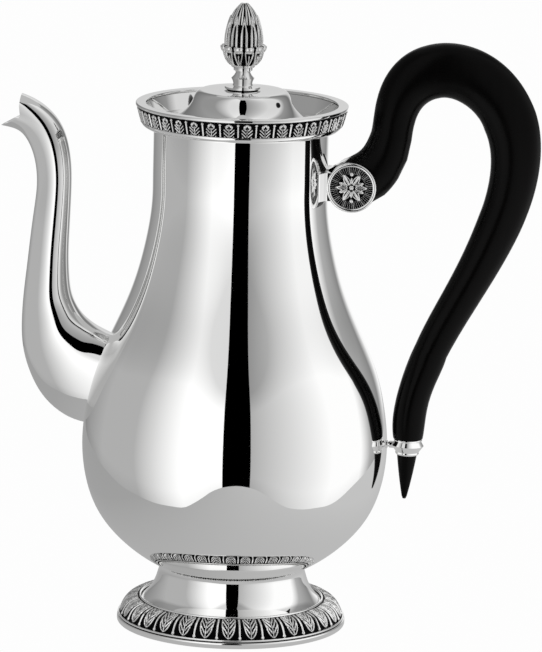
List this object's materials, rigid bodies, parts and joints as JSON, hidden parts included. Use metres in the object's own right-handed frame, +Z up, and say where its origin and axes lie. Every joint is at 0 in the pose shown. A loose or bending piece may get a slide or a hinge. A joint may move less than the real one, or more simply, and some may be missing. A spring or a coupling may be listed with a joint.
{
  "type": "coffee pot",
  "caption": "Pear-shaped silver-plated coffee pot on a spool foot, with swan-neck spout, lift-off lid with bud finial and looped black wooden handle.",
  "frame": {"origin": "on the pot's axis, in the plane the foot stands on", "axes": "+Z up the axis, +X towards the handle, -X towards the spout, -Y is the front seen with the spout at the left"},
  "size_m": [0.2228, 0.1264, 0.26],
  "materials": {
    "polished_silver": "mirror polished silver plate",
    "chased_silver": "stamped silver plate with darkened ground",
    "black_wood": "ebonised hardwood, satin lacquer",
    "brass": "plain turned brass"
  },
  "bodies": {
    "pot": {"base_ring": "polished_silver", "body_shell": "polished_silver", "clasp_pin": "brass", "foot_bead": "polished_silver", "foot_border": "chased_silver", "foot_pedestal": "polished_silver", "handle_grip": "black_wood", "handle_ring": "polished_silver", "handle_strap": "polished_silver", "handle_tip": "black_wood", "lid_seat": "polished_silver", "mouth_flange": "polished_silver", "neck_clasp": "polished_silver", "rim_border": "chased_silver", "ring_link": "polished_silver", "rosette_back": "chased_silver", "rosette_front": "chased_silver", "spout": "polished_silver", "strap_pin": "polished_silver", "tip_stud": "brass"},
    "lid": {"lid_cover": "polished_silver", "lid_skirt": "polished_silver", "finial_base": "polished_silver", "finial_calyx": "chased_silver", "finial_bud": "chased_silver", "finial_stud": "brass", "finial_washer": "brass", "finial_nut": "brass"}
  },
  "joints": [
    {"name": "lid_lift", "type": "slide", "parent": "pot", "child": "lid", "axis": [0, 0, 1], "range_m": [0, 0.06]}
  ]
}
